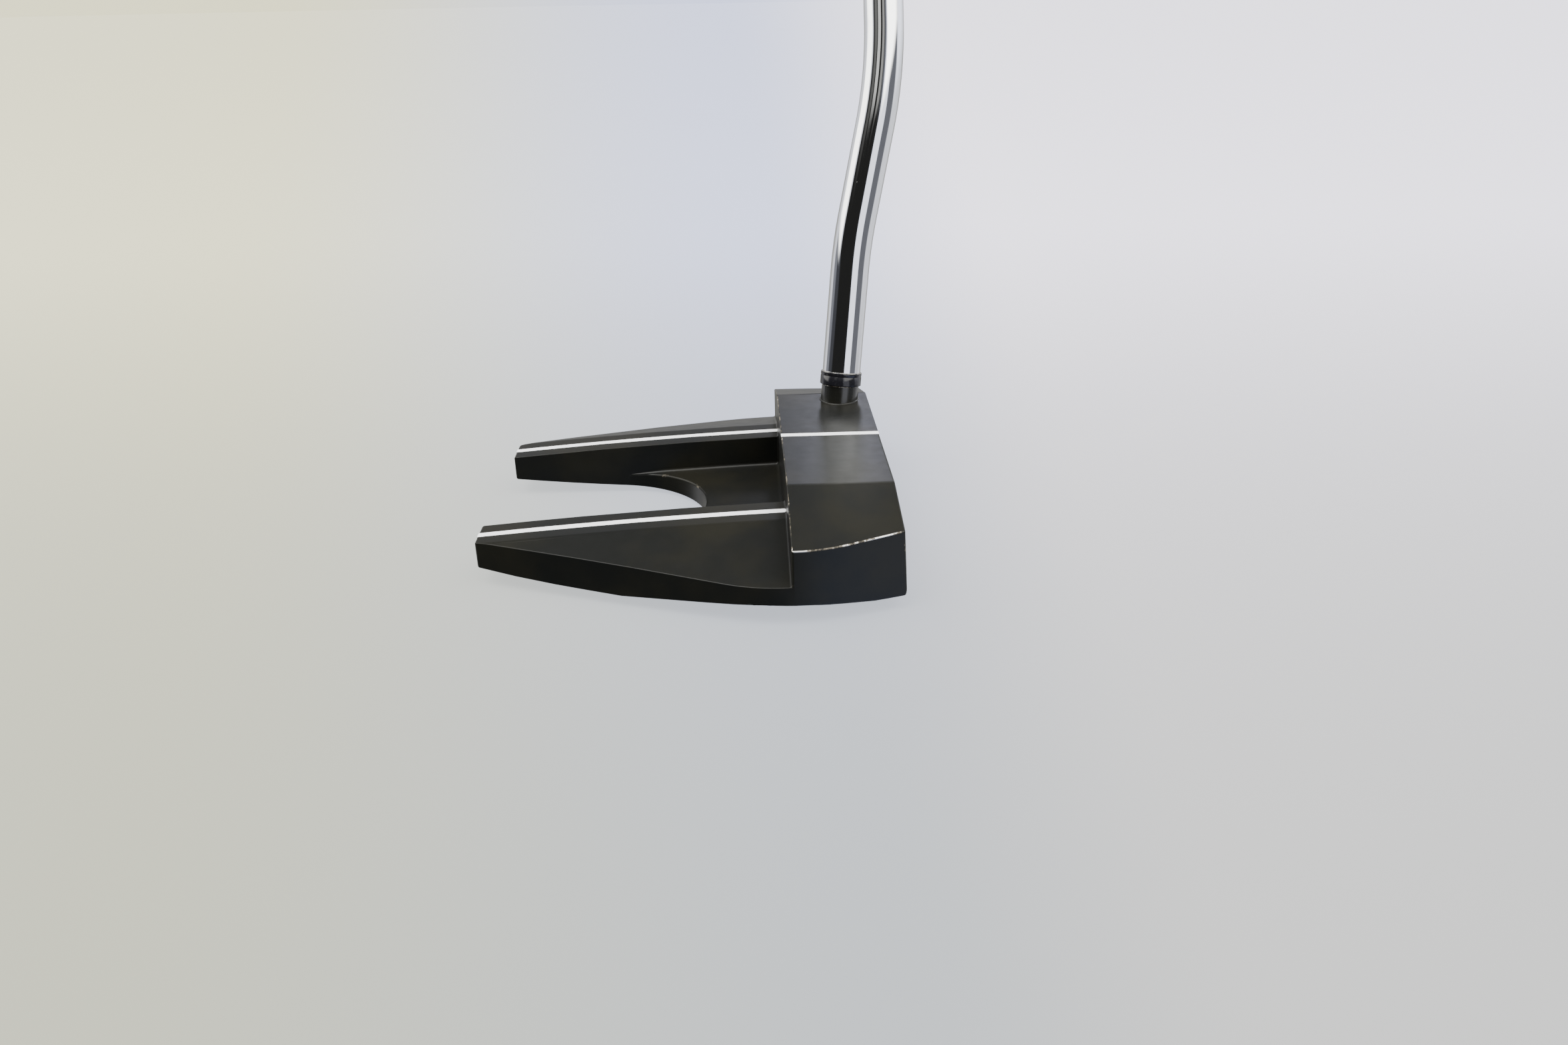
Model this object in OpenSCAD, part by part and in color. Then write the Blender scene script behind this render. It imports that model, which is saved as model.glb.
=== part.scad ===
// Fang-style mallet putter: a cast head with two rear prongs, a double-bend shaft that sits over a
// post on the head, and a flat-front grip.
// +X points from the face towards the target, +Y from toe to heel, +Z up. The origin is on the
// ground, at the middle of the flat spot of the sole.

/* [Head] */
// Length from heel to toe
head_length = 102; // [98:0.5:106]
// Depth from the top edge of the face to the prong tips
head_depth = 88.6; // [86:0.2:92]
// Height of the crown above the ground
head_height = 21.5; // [21:0.25:23]
// Depth of the block behind the face
block_depth = 22.6; // [21:0.2:24]
// Backward lean of the face, in degrees
face_loft = 3; // [1:0.5:5]
// Width of the flat middle of the crown
crown_flat_w = 60; // [59.6:0.2:62]
// Fall of the crown and wings beyond the flat, in degrees
wing_fall = 14.3; // [12:0.1:16]

/* [Prongs] */
// Clear gap between the prongs
prong_gap = 40.9; // [39:0.1:42]
// Drop from the crown to the prongs where they leave the block
prong_drop_front = 7.85; // [7:0.05:9]
// Drop from the crown to the prongs at their tips
prong_drop_tip = 11.5; // [10.5:0.1:12.5]
// Rise of the prongs' long curve above a straight line
prong_bow = 0.43; // [0.3:0.01:0.6]
// Drop from the top of the prongs to the floor plate between them
floor_drop = 7.4; // [6.5:0.1:8]
// Depth of the floor plate behind the block, up to its round cut-out
floor_depth = 17.9; // [15:0.1:20]

/* [Sight lines] */
// Width of each painted line
line_w = 2; // [1.5:0.1:2.5]
// Depth of the paint in its groove
line_depth = 0.3; // [0.2:0.05:0.5]

/* [Face insert] */
// Length of the insert
insert_l = 76; // [60:1:78]
// Height of the insert
insert_h = 13; // [11:0.5:13.5]
// Thickness of the insert
insert_t = 4; // [3:0.25:5]

/* [Shaft] */
// Diameter of the shaft from its tip to above the bends
tip_d = 9.4; // [9:0.1:9.6]
// Diameter of the shaft under the grip
butt_d = 14.7; // [14:0.1:15.2]
// Wall thickness of the tube
shaft_wall = 0.55; // [0.4:0.05:0.7]
// Height of the lower bend above the crown
bend_low = 37; // [35:1:42]
// Height of the upper bend above the crown
bend_high = 75; // [70:1:85]
// Radius of both bends
bend_r = 100; // [80:5:110]
// Length of the club along its shaft
club_length = 864; // [820:1:900]

/* [Grip] */
// Length of the grip sleeve
grip_l = 256; // [240:1:270]
// Diameter of the grip at its lower end
grip_d_low = 19.6; // [19:0.2:22]
// Diameter of the grip at its cap
grip_d_high = 27; // [25:0.5:29]
// Distance from the shaft's axis to the flat front of the grip
grip_flat = 9.1; // [8.8:0.1:9.4]

/* [Hidden] */
$fn = 96;

// Fragments for arcs of large radius, which are only a few degrees long
FINE = 2880;
// Overlap and overshoot of cutting shapes
EPS = 1;

// Where the block and the prongs lie along X
face_x = block_depth / 2;
block_rear_x = -block_depth / 2;
tip_x = face_x - head_depth;

// Plan outline: a round flank on the line of the block's rear edge, and straight tangents
flank_r = 40;
flank_front_angle = 17;
flank_rear_angle = 20.3;
flank_steps = 16;
flank_centre_y = head_length / 2 - flank_r;
rear_tangent = flank_point(-flank_rear_angle);
front_tangent = flank_point(flank_front_angle);

// Sole: a flat spot, a gentle camber towards heel and toe, a tighter one at the ends, a long rise
// towards the prong tips, and a round leading edge
sole_flat_w = 24;
sole_flat_l = 8;
camber_r = 300;
camber_end_y = 40;
end_camber_r = 35;
rear_rise_r = 650;
leading_edge_r = 3.5;

// Long curve of the prong tops, seen from the side: two ends, their chord, and the circle on them
prong_front = [block_rear_x, head_height - prong_drop_front];
prong_tip = [tip_x, head_height - prong_drop_tip];
prong_chord = prong_tip - prong_front;
prong_half_chord = norm(prong_chord) / 2;
prong_r = (pow(prong_half_chord, 2) + pow(prong_bow, 2)) / (2 * prong_bow);
prong_up = [prong_chord[1], -prong_chord[0]] / norm(prong_chord);
prong_centre = (prong_front + prong_tip) / 2 - (prong_r - prong_bow) * prong_up;

// Middle of the flat strip on each prong, where its sight line runs
strip_y = (prong_gap + crown_flat_w) / 4;
floor_edge_x = block_rear_x - floor_depth;
paint_sink = 0.05;

// Insert pocket in the face
adhesive_t = 0.25;
insert_mid_h = 10.6;

// Post, boss and ferrule, along the lower end of the shaft
post_foot = [4.2, 25, head_height];
boss_d = 9.2;
boss_h = 3.7;
boss_sunk = 2.5;
post_h = 20;
epoxy_t = 0.2;
ferrule_h = 3.3;
ferrule_wall = 0.4;
ferrule_chamfer = 0.25;

// Shaft centre line: three directions, given as the drift in X and Y for each unit of height
lie_angle = 70;
low_run = unit([0.095, 0.18, 1]);
mid_run = unit([0.2216, 0.25, 1]);
high_run = unit([0, 1 / tan(lie_angle), 1]);
low_corner = post_foot + low_run * bend_low / low_run[2];
high_corner = low_corner + mid_run * (bend_high - bend_low) / mid_run[2];

// Angle of each bend, the turn about the shaft that aims it, and its reach from the corner
low_bend = acos(low_run * mid_run);
high_bend = acos(mid_run * high_run);
low_turn = atan2(mid_run * side_y(low_run), mid_run * side_x(low_run));
mid_side_y = unit(cross(low_run, mid_run));
mid_side_x = cross(mid_side_y, mid_run);
high_turn = atan2(high_run * mid_side_y, high_run * mid_side_x);
low_reach = bend_r * tan(low_bend / 2);
high_reach = bend_r * tan(high_bend / 2);
// The bends are a hair thicker than the straight runs, whose ends lie inside them
bend_swell = 0.02;
bend_lap = 0.5;

// Stations along the straight upper shaft, counted from the upper bend's corner
cap_t = 5;
cap_edge_r = 2;
vent_d = 2.4;
tape_t = 0.15;
tape_inset = 6;
top_station = club_length - high_corner[2] / high_run[2];
shaft_end = top_station - cap_t;
grip_start = shaft_end - grip_l;
taper_start = 150;
taper_end = grip_start - 20;
grip_lip_h = 6;
grip_lip_d = 17.4;

function unit(v) = v / norm(v);
// Sideways axes of children placed by along()
function side_x(d) = unit([d[0] * d[2], d[1] * d[2], -pow(d[0], 2) - pow(d[1], 2)]);
function side_y(d) = cross(d, side_x(d));
// Point on the flank's arc, at an angle towards the face from its widest point
function flank_point(angle) =
    [block_rear_x + flank_r * sin(angle), flank_centre_y + flank_r * cos(angle)];
function face_line_x(z) = face_x + (head_height - z) * tan(face_loft);
// Angle about the prong curve's centre at which a point at x lies
function prong_angle(x) = acos((x - prong_centre[0]) / prong_r);

// Puts children on a line through a point, with their Z along the line
module along(point, direction) {
    translate(point)
        rotate([0, acos(direction[2]), atan2(direction[1], direction[0])])
            children();
}

// Children on the straight upper shaft, with their Z along it and their X towards the flat front
module on_upper_shaft(station) {
    translate(high_corner + high_run * station)
        rotate([90 - lie_angle, 0, 180])
            rotate([0, 0, 90])
                children();
}

// Outline of the head seen from above
module plan_outline() {
    nose_x = face_x + 3;
    nose_y = front_tangent[1] - (nose_x - front_tangent[0]) * tan(flank_front_angle);
    tip_y = rear_tangent[1] - (rear_tangent[0] - tip_x) * tan(flank_rear_angle);
    step = (flank_front_angle + flank_rear_angle) / flank_steps;
    flank = [for (i = [0:flank_steps]) flank_point(step * i - flank_rear_angle)];
    heel = concat([[tip_x, tip_y]], flank, [[nose_x, nose_y]]);
    toe = [for (i = [len(heel) - 1:-1:0]) [heel[i][0], -heel[i][1]]];
    polygon(concat(heel, toe));
}

// Outline of the head seen from the front: X runs towards the heel and Y up
module front_half() {
    half = head_length / 2 + EPS;
    crease = crown_flat_w / 2;
    spot = sole_flat_w / 2;
    shoulder = head_height - (half - crease) * tan(wing_fall);
    camber_angle = asin((camber_end_y - spot) / camber_r);
    end_centre = [
        camber_end_y - end_camber_r * sin(camber_angle),
        camber_r - (camber_r - end_camber_r) * cos(camber_angle),
    ];
    intersection() {
        polygon([[-EPS, 0], [half, 0], [half, shoulder], [crease, head_height], [-EPS, head_height]]);
        union() {
            translate([-EPS, 0]) square([spot + EPS, head_height]);
            intersection() {
                translate([spot, camber_r]) circle(r = camber_r, $fn = FINE);
                translate([spot, 0]) square([camber_end_y - spot, head_height]);
            }
            intersection() {
                translate(end_centre) circle(r = end_camber_r, $fn = 360);
                translate([camber_end_y, 0]) square([half - camber_end_y, head_height]);
            }
        }
    }
}

// Outline of the head seen from the toe: X runs towards the face and Y up
module side_outline() {
    spot = sole_flat_l / 2;
    edge_x = face_line_x(leading_edge_r) - leading_edge_r / cos(face_loft);
    translate([edge_x, leading_edge_r]) circle(r = leading_edge_r);
    polygon([
        [-spot, 0], [edge_x, 0], [edge_x, leading_edge_r],
        [
            edge_x + leading_edge_r * cos(face_loft),
            leading_edge_r + leading_edge_r * sin(face_loft),
        ],
        [face_x, head_height], [-spot, head_height],
    ]);
    intersection() {
        translate([-spot, rear_rise_r]) circle(r = rear_rise_r, $fn = FINE);
        translate([tip_x - EPS, 0]) square([-spot - tip_x + EPS, head_height]);
    }
}

// The solid inside all three outlines
module envelope() {
    intersection() {
        linear_extrude(head_height) plan_outline();
        translate([tip_x - EPS, 0, 0])
            rotate([90, 0, 90])
                linear_extrude(head_depth + 5) {
                    front_half();
                    mirror([1, 0]) front_half();
                }
        translate([0, head_length / 2, 0])
            rotate([90, 0, 0])
                linear_extrude(head_length) side_outline();
    }
}

// A profile swept along the prongs' long curve: X is the height above it, and Y runs across the head
module prong_sweep(from_x, to_x) {
    first = prong_angle(to_x);
    translate([prong_centre[0], 0, prong_centre[1]])
        rotate([90, 0, 0])
            rotate([0, 0, first])
                rotate_extrude(angle = prong_angle(from_x) - first, $fn = FINE)
                    translate([prong_r, 0]) children();
}

// Everything below the tops of the prongs and their wings
module below_prongs() {
    half = head_length / 2 + EPS;
    crease = crown_flat_w / 2;
    fall = (half - crease) * tan(wing_fall);
    prong_sweep(tip_x - EPS, block_rear_x + EPS)
        polygon([
            [-24, -half], [-fall, -half], [0, -crease], [0, crease], [-fall, half], [-24, half],
        ]);
}

// Space between the prongs, above the floor plate and right through behind it
module prong_space() {
    half = prong_gap / 2;
    difference() {
        translate([tip_x - EPS, -half, -EPS])
            cube([block_rear_x - tip_x + EPS, prong_gap, head_height + 2 * EPS]);
        prong_sweep(tip_x - 2 * EPS, block_rear_x + EPS)
            translate([-24, -half - EPS]) square([24 - floor_drop, prong_gap + 2 * EPS]);
    }
    translate([floor_edge_x - half, 0, -EPS]) cylinder(r = half, h = head_height);
    translate([tip_x - EPS, -half, -EPS])
        cube([floor_edge_x - half - tip_x + EPS, prong_gap, head_height]);
}

// A paint line on a prong, from sink_top to sink_bottom below the surface
module prong_line(side, sink_bottom, sink_top) {
    prong_sweep(tip_x, block_rear_x)
        translate([-sink_bottom, -side * strip_y - line_w / 2])
            square([sink_bottom - sink_top, line_w]);
}

module crown_line(sink_bottom, sink_top) {
    translate([block_rear_x, -line_w / 2, head_height - sink_bottom])
        cube([block_depth, line_w, sink_bottom - sink_top]);
}

// Stadium-shaped slab behind the face: depth_a and depth_b are counted inwards from the face
module face_slab(length, height, depth_a, depth_b) {
    end_r = height / 2;
    translate([face_line_x(insert_mid_h), 0, insert_mid_h])
        rotate([0, -face_loft, 0])
            translate([-depth_b, 0, 0])
                rotate([90, 0, 90])
                    linear_extrude(depth_b - depth_a) {
                        square([length - height, height], center = true);
                        for (side = [-1, 1])
                            translate([side * (length / 2 - end_r), 0]) circle(r = end_r);
                    }
}

// Boss on the crown, and the post that the shaft slides over
module hosel() {
    along(post_foot, low_run) rotate([0, 0, 90]) {
        translate([0, 0, -boss_sunk]) cylinder(d = boss_d, h = boss_sunk + boss_h);
        translate([0, 0, boss_h]) cylinder(r = tip_d / 2 - shaft_wall - epoxy_t, h = post_h);
    }
}

module head_body() {
    color([0.2, 0.2, 0.19]) {
        difference() {
            intersection() {
                envelope();
                union() {
                    translate([block_rear_x, -head_length / 2, 0])
                        cube([block_depth + 5, head_length, head_height]);
                    below_prongs();
                }
            }
            prong_space();
            crown_line(line_depth + paint_sink, -EPS);
            prong_line(-1, line_depth + paint_sink, -EPS);
            prong_line(1, line_depth + paint_sink, -EPS);
            face_slab(insert_l, insert_h, -EPS, insert_t + adhesive_t);
        }
        hosel();
    }
}

module face_insert() {
    color([0.16, 0.16, 0.17]) face_slab(insert_l, insert_h, 0, insert_t);
}

module insert_adhesive() {
    color([0.75, 0.72, 0.6]) face_slab(insert_l, insert_h, insert_t, insert_t + adhesive_t);
}

module crown_sight_line() {
    color([0.92, 0.92, 0.94]) crown_line(line_depth + paint_sink, paint_sink);
}

module toe_sight_line() {
    color([0.92, 0.92, 0.94]) prong_line(-1, line_depth + paint_sink, paint_sink);
}

module heel_sight_line() {
    color([0.92, 0.92, 0.94]) prong_line(1, line_depth + paint_sink, paint_sink);
}

module ferrule_collar() {
    inner = tip_d / 2;
    outer = inner + ferrule_wall;
    color([0.08, 0.08, 0.08])
        along(post_foot, low_run)
            translate([0, 0, boss_h])
                rotate_extrude()
                    polygon([
                        [inner, 0], [outer - ferrule_chamfer, 0], [outer, ferrule_chamfer],
                        [outer, ferrule_h - ferrule_chamfer], [outer - ferrule_chamfer, ferrule_h],
                        [inner, ferrule_h],
                    ]);
}

// Round bend that starts at the origin along Z and turns towards X
module bend(angle, radius) {
    translate([bend_r, 0, 0])
        rotate([90, 0, 180])
            rotate_extrude(angle = angle, $fn = FINE)
                translate([bend_r, 0]) circle(r = radius + bend_swell, $fn = 96);
}

// Children at the far end of such a bend
module after_bend(angle) {
    translate([bend_r, 0, 0]) rotate([0, angle, 0]) translate([-bend_r, 0, 0]) children();
}

// Straight upper stretch: parallel tip, long taper and parallel butt
module upper_bar(from_station, tip_r, butt_r, spare) {
    translate([0, 0, -bend_lap]) cylinder(r = tip_r, h = taper_start - from_station + bend_lap);
    translate([0, 0, taper_start - from_station])
        cylinder(r1 = tip_r, r2 = butt_r, h = taper_end - taper_start);
    translate([0, 0, taper_end - from_station])
        cylinder(r = butt_r, h = shaft_end - taper_end + spare);
}

// Solid bar along the shaft's centre line, inset from its surface, running past both ends by spare
module shaft_bar(inset, spare) {
    tip_r = tip_d / 2 - inset;
    butt_r = butt_d / 2 - inset;
    low_length = norm(low_corner - post_foot) - boss_h - low_reach;
    mid_half = (norm(high_corner - low_corner) - low_reach - high_reach) / 2;
    along(post_foot, low_run) rotate([0, 0, low_turn]) translate([0, 0, boss_h]) {
        translate([0, 0, -spare]) cylinder(r = tip_r, h = low_length + bend_lap + spare);
        translate([0, 0, low_length]) {
            bend(low_bend, tip_r);
            after_bend(low_bend) {
                translate([0, 0, -bend_lap]) cylinder(r = tip_r, h = mid_half + bend_lap);
                translate([0, 0, 2 * mid_half]) rotate([0, 0, high_turn]) {
                    translate([0, 0, -mid_half]) cylinder(r = tip_r, h = mid_half + bend_lap);
                    bend(high_bend, tip_r);
                    after_bend(high_bend) upper_bar(high_reach, tip_r, butt_r, spare);
                }
            }
        }
    }
}

module shaft() {
    color([0.85, 0.86, 0.88])
        difference() {
            shaft_bar(0, 0);
            shaft_bar(shaft_wall, EPS);
        }
}

module shaft_epoxy() {
    bore_r = tip_d / 2 - shaft_wall;
    color([0.7, 0.62, 0.4])
        along(post_foot, low_run)
            translate([0, 0, boss_h])
                difference() {
                    cylinder(r = bore_r, h = post_h);
                    translate([0, 0, -EPS]) cylinder(r = bore_r - epoxy_t, h = post_h + 2 * EPS);
                }
}

module grip_tape() {
    length = grip_l - tape_inset;
    color([0.85, 0.8, 0.65])
        on_upper_shaft(grip_start + tape_inset)
            difference() {
                cylinder(d = butt_d + 2 * tape_t, h = length);
                translate([0, 0, -EPS]) cylinder(d = butt_d, h = length + 2 * EPS);
            }
}

// Removes everything in front of the grip's flat
module flat_cut(length) {
    translate([grip_flat, -grip_d_high, -EPS])
        cube([grip_d_high, 2 * grip_d_high, length + 2 * EPS]);
}

module grip() {
    color([0.1, 0.1, 0.1])
        on_upper_shaft(grip_start)
            difference() {
                union() {
                    cylinder(d1 = grip_lip_d, d2 = grip_d_low, h = grip_lip_h);
                    translate([0, 0, grip_lip_h])
                        cylinder(d1 = grip_d_low, d2 = grip_d_high, h = grip_l - grip_lip_h);
                }
                flat_cut(grip_l);
                translate([0, 0, -EPS]) cylinder(d = butt_d, h = tape_inset + 2 * EPS);
                translate([0, 0, tape_inset])
                    cylinder(d = butt_d + 2 * tape_t, h = grip_l - tape_inset + EPS);
            }
}

module grip_cap() {
    outer = grip_d_high / 2;
    color([0.1, 0.1, 0.1])
        on_upper_shaft(shaft_end)
            difference() {
                rotate_extrude() {
                    square([outer, cap_t - cap_edge_r]);
                    square([outer - cap_edge_r, cap_t]);
                    translate([outer - cap_edge_r, cap_t - cap_edge_r])
                        intersection() {
                            circle(r = cap_edge_r);
                            square(cap_edge_r);
                        }
                }
                flat_cut(cap_t);
                translate([0, 0, -EPS]) cylinder(d = vent_d, h = cap_t + 2 * EPS);
            }
}

head_body();
face_insert();
insert_adhesive();
crown_sight_line();
toe_sight_line();
heel_sight_line();
ferrule_collar();
shaft();
shaft_epoxy();
grip_tape();
grip();
grip_cap();
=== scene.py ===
"""Looks for the two-prong mallet putter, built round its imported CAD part. Lengths are in metres.

+X points from the face towards the target, +Y from toe to heel, +Z up. The origin is on the ground,
at the middle of the flat spot of the sole.
"""

import math

import bmesh
import bpy
from mathutils import Matrix, Vector

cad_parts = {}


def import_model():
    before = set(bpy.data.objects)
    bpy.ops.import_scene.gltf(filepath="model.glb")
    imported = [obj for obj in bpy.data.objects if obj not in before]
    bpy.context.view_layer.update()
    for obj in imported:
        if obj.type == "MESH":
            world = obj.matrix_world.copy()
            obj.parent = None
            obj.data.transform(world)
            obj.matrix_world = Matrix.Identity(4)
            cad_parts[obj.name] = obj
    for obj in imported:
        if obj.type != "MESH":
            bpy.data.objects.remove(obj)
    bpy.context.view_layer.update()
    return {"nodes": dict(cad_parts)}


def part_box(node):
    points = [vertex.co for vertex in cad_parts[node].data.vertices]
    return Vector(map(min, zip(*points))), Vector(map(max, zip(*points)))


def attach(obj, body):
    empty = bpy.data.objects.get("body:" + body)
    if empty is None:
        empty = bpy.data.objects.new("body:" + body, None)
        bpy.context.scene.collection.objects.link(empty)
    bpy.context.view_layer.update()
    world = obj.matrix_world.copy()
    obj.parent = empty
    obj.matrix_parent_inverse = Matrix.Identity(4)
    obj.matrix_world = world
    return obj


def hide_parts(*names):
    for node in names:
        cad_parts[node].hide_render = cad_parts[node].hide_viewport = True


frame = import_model()
nodes = frame["nodes"]

MM = 0.001

# Main places: the sight lines and the tips from the frame, the rest as in the CAD part
CROWN_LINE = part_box("crown_sight_line")
HEEL_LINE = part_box("heel_sight_line")
FACE_X = CROWN_LINE[1].x
BLOCK_REAR_X = CROWN_LINE[0].x
TIP_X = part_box("head_body")[0].x
CROWN_Z = 21.5 * MM
LINE_Y = (HEEL_LINE[0].y + HEEL_LINE[1].y) / 2
LINE_HALF = (CROWN_LINE[1].y - CROWN_LINE[0].y) / 2
PRONG_INNER_Y = 20.45 * MM
POST_FOOT = Vector((4.2, 25, 21.5)) * MM
LOW_RUN = Vector((0.095, 0.18, 1)).normalized()
MID_RUN = Vector((0.2216, 0.25, 1)).normalized()
LIE_ANGLE = math.radians(70)
HIGH_RUN = Vector((0, math.cos(LIE_ANGLE), math.sin(LIE_ANGLE)))
LOW_RISE = 37 * MM
MID_RISE = 38 * MM
LOW_CORNER = POST_FOOT + LOW_RUN * LOW_RISE / LOW_RUN.z
HIGH_CORNER = LOW_CORNER + MID_RUN * MID_RISE / MID_RUN.z
GRIP_FRONT = Vector((0, -math.sin(LIE_ANGLE), math.cos(LIE_ANGLE)))
BEND_RADIUS = 100 * MM
BOSS_H = 3.7 * MM
BOSS_RADIUS = 4.6 * MM


# ---------------------------------------------------------------- small helpers


def smoothstep(low, high, value):
    t = min(max((value - low) / (high - low), 0), 1)
    return t * t * (3 - 2 * t)


def link(obj):
    bpy.context.scene.collection.objects.link(obj)
    return obj


def piece(name, mesh, material, slot, *replaced):
    """A visible piece of the club, in place, standing for the CAD nodes it replaces."""
    mesh.materials.clear()
    mesh.materials.append(material)
    obj = link(bpy.data.objects.new(name, mesh))
    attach(obj, "root")
    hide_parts(*replaced)
    return obj


def finish_node(name, material):
    """A CAD node that stays as it is, in its own finish."""
    mesh = nodes[name].data
    mesh.materials.clear()
    mesh.materials.append(material)


def rings_mesh(name, rings, closed=False):
    """Skin over rings of equally many points. Closed joins the last ring to the first, or else both ends
    are capped."""
    count = len(rings[0])
    bm = bmesh.new()
    rows = [[bm.verts.new(p) for p in ring] for ring in rings]
    pairs = list(zip(rows, rows[1:]))
    if closed:
        pairs.append((rows[-1], rows[0]))
    for a, b in pairs:
        for i in range(count):
            j = (i + 1) % count
            bm.faces.new((a[i], a[j], b[j], b[i]))
    if not closed:
        bm.faces.new(list(reversed(rows[0])))
        bm.faces.new(rows[-1])
    bmesh.ops.recalc_face_normals(bm, faces=bm.faces)
    mesh = bpy.data.meshes.new(name)
    bm.to_mesh(mesh)
    bm.free()
    mesh.shade_smooth()
    return mesh


def circle(centre, side_a, side_b, radius, count):
    """Points round a centre, turning from the first side towards the second."""
    turn = 2 * math.pi / count
    return [
        centre + (side_a * math.cos(turn * i) + side_b * math.sin(turn * i)) * radius
        for i in range(count)
    ]


def sideways(direction):
    """Two axes square to a direction, the first one level."""
    a = direction.cross(Vector((0, 1, 0))).normalized()
    return a, direction.cross(a)


# ---------------------------------------------------------------- materials


class Shader:
    """Builds one node material, with the nodes in reading order."""

    def __init__(self, name):
        self.material = bpy.data.materials.new(name)
        self.material.use_nodes = True
        self.tree = self.material.node_tree
        self.bsdf = self.tree.nodes["Principled BSDF"]
        self.place = self.add("ShaderNodeTexCoord").outputs["Object"]

    def add(self, kind, **settings):
        node = self.tree.nodes.new(kind)
        for key, value in settings.items():
            setattr(node, key, value)
        return node

    def join(self, value, socket):
        if isinstance(value, bpy.types.NodeSocket):
            self.tree.links.new(value, socket)
        else:
            socket.default_value = value

    def math(self, operation, a, b=0.5, c=0.5):
        node = self.add("ShaderNodeMath", operation=operation)
        for value, socket in zip((a, b, c), node.inputs):
            self.join(value, socket)
        return node.outputs[0]

    def noise(self, scale, detail=3.0, roughness=0.55, stretch=None):
        node = self.add("ShaderNodeTexNoise")
        place = self.place
        if stretch:
            mapping = self.add("ShaderNodeMapping")
            self.join(place, mapping.inputs["Vector"])
            mapping.inputs["Scale"].default_value = stretch
            place = mapping.outputs[0]
        self.join(place, node.inputs["Vector"])
        node.inputs["Scale"].default_value = scale
        node.inputs["Detail"].default_value = detail
        node.inputs["Roughness"].default_value = roughness
        return node.outputs["Fac"]

    def specks(self, scale, radius, share):
        """Round specks of one radius, in a share of the cells of a grid."""
        node = self.add("ShaderNodeTexVoronoi")
        self.join(self.place, node.inputs["Vector"])
        node.inputs["Scale"].default_value = scale
        split = self.add("ShaderNodeSeparateColor")
        self.join(node.outputs["Color"], split.inputs[0])
        small = self.math("LESS_THAN", node.outputs["Distance"], radius * scale)
        rare = self.math("LESS_THAN", split.outputs[0], share)
        return self.math("MULTIPLY", small, rare)

    def ramp(self, value, low, high, out_low=0.0, out_high=1.0):
        node = self.add("ShaderNodeMapRange", interpolation_type="SMOOTHSTEP")
        self.join(value, node.inputs["Value"])
        node.inputs["From Min"].default_value = low
        node.inputs["From Max"].default_value = high
        node.inputs["To Min"].default_value = out_low
        node.inputs["To Max"].default_value = out_high
        return node.outputs[0]

    def mix(self, factor, a, b):
        node = self.add("ShaderNodeMix", data_type="RGBA")
        self.join(factor, node.inputs["Factor"])
        for value, socket in ((a, node.inputs["A"]), (b, node.inputs["B"])):
            self.join(value if isinstance(value, bpy.types.NodeSocket) else (*value, 1), socket)
        return node.outputs["Result"]

    def attribute(self, name):
        return self.add("ShaderNodeAttribute", attribute_name=name).outputs["Fac"]

    def bump(self, height, distance, strength=1.0, under=None):
        node = self.add("ShaderNodeBump")
        self.join(height, node.inputs["Height"])
        node.inputs["Distance"].default_value = distance
        node.inputs["Strength"].default_value = strength
        if under is not None:
            self.join(under, node.inputs["Normal"])
        return node.outputs[0]

    def out(self, **values):
        """Sets the main shader's inputs, by name with underscores for spaces."""
        for key, value in values.items():
            self.join(value, self.bsdf.inputs[key.replace("_", " ")])
        return self.material


PAINT_DARK = (0.0054, 0.0058, 0.0054)
PAINT_WARM = (0.0094, 0.0090, 0.0062)
BARE_METAL = (0.62, 0.60, 0.56)
PRIMER = (0.10, 0.085, 0.062)


def head_finish():
    s = Shader("head_finish")
    patches = s.ramp(s.noise(55, detail=4), 0.35, 0.68)
    paint = s.mix(patches, PAINT_DARK, PAINT_WARM)
    wear = s.attribute("wear")
    grit = s.noise(1500, detail=5, roughness=0.7)
    blotch = s.noise(260, detail=4)
    # a worn edge shows where its wear outruns the noise, and brown primer rims the bare metal
    reach = s.math("MULTIPLY_ADD", grit, 0.35, s.math("MULTIPLY", blotch, 0.65))
    over = s.math("SUBTRACT", wear, reach)
    bare = s.ramp(over, 0.0, 0.05)
    rim = s.ramp(over, -0.07, 0.0)
    dots = s.specks(150, 0.17 * MM, 0.05)
    bare = s.math("MAXIMUM", bare, s.math("MULTIPLY", dots, 0.7))
    colour = s.mix(s.math("MULTIPLY", rim, s.ramp(wear, 0.0, 0.3)), paint, PRIMER)
    colour = s.mix(bare, colour, BARE_METAL)
    matt = s.math("MULTIPLY_ADD", s.noise(320, detail=5), 0.12, 0.30)
    matt = s.math("MULTIPLY", matt, s.ramp(s.attribute("gloss"), 0, 1, 1.0, 0.65))
    roughness = s.math("MULTIPLY_ADD", bare, -0.05, matt)
    grain = s.bump(s.noise(5200, detail=2), 0.004 * MM, 0.5)
    chips = s.bump(s.math("SUBTRACT", 1.0, bare), 0.03 * MM, 0.6, under=grain)
    return s.out(Base_Color=colour, Metallic=bare, Roughness=roughness, Normal=chips,
                 Specular_IOR_Level=s.ramp(s.attribute("gloss"), 0, 1, 0.20, 0.55))


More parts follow.
